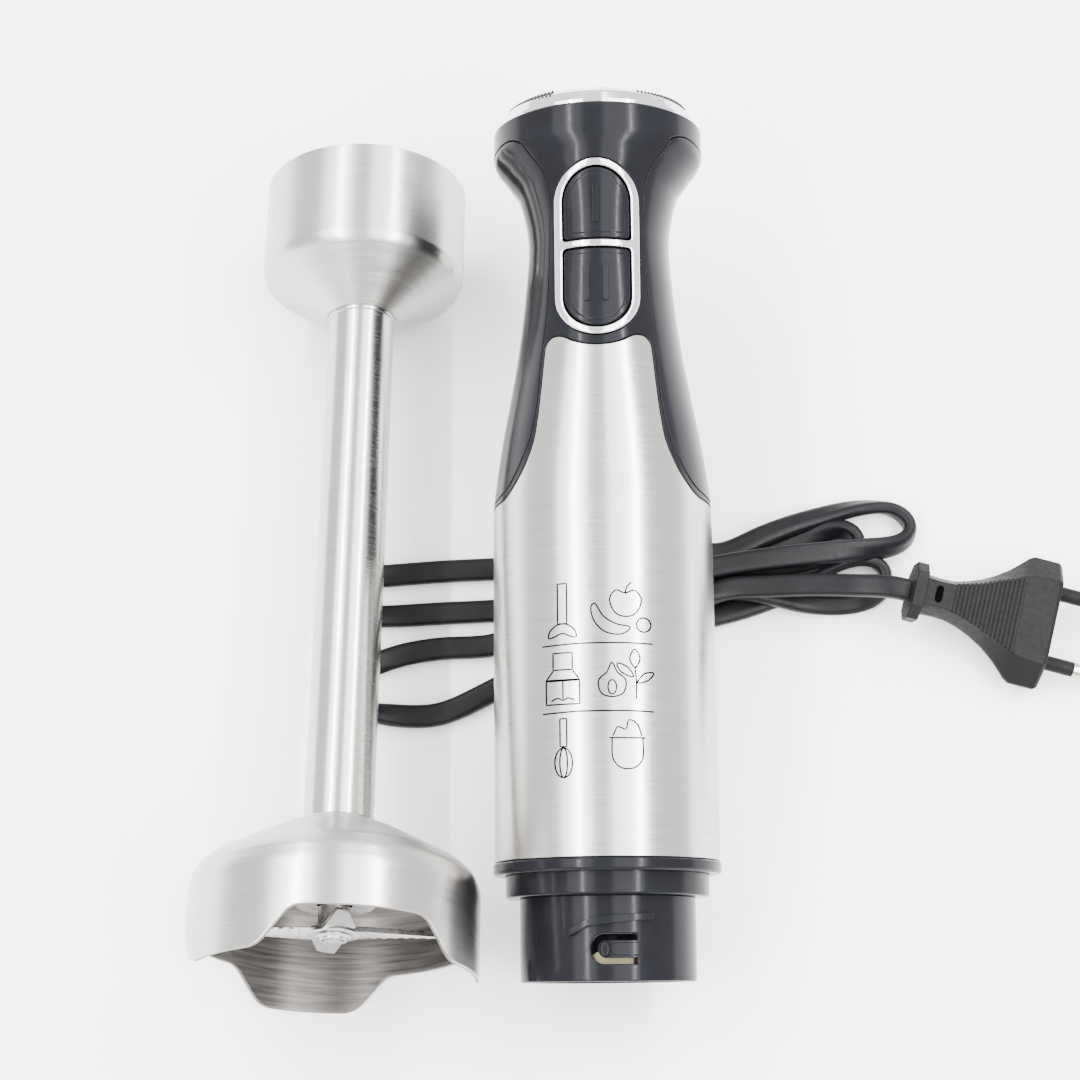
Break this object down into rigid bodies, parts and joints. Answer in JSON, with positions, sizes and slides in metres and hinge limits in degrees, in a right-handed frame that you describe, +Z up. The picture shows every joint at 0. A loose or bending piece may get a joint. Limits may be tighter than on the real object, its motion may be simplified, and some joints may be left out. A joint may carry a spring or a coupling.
{
  "type": "immersion blender",
  "caption": "Corded immersion blender laid out in two halves: motor handle with two buttons and a speed dial, and a detached steel blending shaft with a bladed guard.",
  "frame": {"origin": "on the table, under the middle of the handle and shaft together, without the cord", "axes": "+Z up from the table, +Y towards the handle's dial end, +X towards the plug"},
  "size_m": [0.2372, 0.2231, 0.0875],
  "materials": {
    "steel": "circumferentially brushed stainless steel",
    "chrome": "bright chrome plating",
    "gloss_black": "high-gloss near-black moulding with a cool tint",
    "satin_black": "fine-textured black moulding",
    "rubber": "soft matte black",
    "copper": "enamelled copper wire and bars",
    "carbon": "pressed carbon",
    "ferrite": "sintered ferrite, matte grey",
    "board": "green solder-masked laminate",
    "ivory": "unpigmented beige moulding",
    "bronze": "sintered bronze",
    "nickel": "bright nickel plating",
    "blade_steel": "ground stainless steel"
  },
  "bodies": {
    "handle": {"steel_sleeve": "steel", "front_housing": "gloss_black", "rear_grip": "gloss_black", "button_bezel": "chrome", "coupling_collar": "gloss_black", "trim_ring": "gloss_black", "head_plate": "satin_black", "speed_potentiometer": "satin_black", "head_screw_1": "nickel", "head_screw_2": "nickel", "button_seal": "rubber", "control_board": "board", "switch_one": "satin_black", "switch_two": "satin_black", "rectifier_board": "board", "suppression_capacitor": "ivory", "motor_carrier": "satin_black", "motor_can": "steel", "motor_end_cap": "satin_black", "lower_damper": "rubber", "upper_damper": "rubber", "output_bearing": "bronze", "lower_bush": "bronze", "upper_bush": "bronze", "left_magnet": "ferrite", "right_magnet": "ferrite", "left_brush": "carbon", "right_brush": "carbon", "strain_relief": "rubber", "cable_clamp": "satin_black", "cord_hank": "rubber", "head_cord": "rubber", "plug_cord": "rubber", "plug_body": "rubber", "plug_pin_1": "nickel", "plug_pin_2": "nickel"},
    "upper_button": {"button_one": "gloss_black"},
    "lower_button": {"button_two": "gloss_black"},
    "dial": {"speed_dial": "chrome", "dial_spindle": "nickel"},
    "latch": {"latch_finger": "ivory"},
    "rotor": {"motor_shaft": "nickel", "armature_core": "steel", "armature_winding": "copper", "commutator": "copper", "cooling_fan": "satin_black", "drive_coupler": "satin_black"},
    "shaft_unit": {"blade_guard": "steel", "shaft_tube": "steel", "coupling_cup": "steel", "cup_liner": "satin_black", "upper_rod_bush": "bronze", "lower_rod_bush": "bronze", "shaft_seal": "rubber", "seal_cap": "blade_steel"},
    "cutter": {"blade": "blade_steel", "blade_spacer": "blade_steel", "blade_nut": "blade_steel", "drive_rod": "nickel", "driven_coupler": "satin_black"}
  },
  "joints": [
    {"name": "upper_button_press", "type": "slide", "parent": "handle", "child": "upper_button", "axis": [0.0506, 0.1831, -0.9818], "range_m": [0, 0.0012], "stiffness_N_per_m": 600, "springref_m": -0.001},
    {"name": "lower_button_press", "type": "slide", "parent": "handle", "child": "lower_button", "axis": [0.0506, 0.1831, -0.9818], "range_m": [0, 0.0012], "stiffness_N_per_m": 600, "springref_m": -0.001},
    {"name": "dial_turn", "type": "hinge", "parent": "handle", "child": "dial", "pos_m": [0.03464, 0.10475, 0.06208], "axis": [-0.0091, 0.9831, 0.1829], "range_deg": [-135, 135]},
    {"name": "latch_flex", "type": "hinge", "parent": "handle", "child": "latch", "pos_m": [0.04274, -0.10385, 0.04345], "axis": [0.0091, -0.9831, -0.1829], "range_deg": [0, 6], "stiffness_Nm_per_rad": 0.6, "springref_deg": -2.86},
    {"name": "rotor_spin", "type": "hinge", "parent": "handle", "child": "rotor", "pos_m": [0.03605, -0.04861, 0.03354], "axis": [-0.0091, 0.9831, 0.1829], "continuous": true},
    {"name": "shaft_lift", "type": "slide", "parent": "handle", "child": "shaft_unit", "axis": [0, 0, 1], "range_m": [0, 0.12]},
    {"name": "cutter_spin", "type": "hinge", "parent": "shaft_unit", "child": "cutter", "pos_m": [-0.02793, -0.0098, 0.03139], "axis": [0.0127, 0.999, -0.0439], "continuous": true}
  ]
}
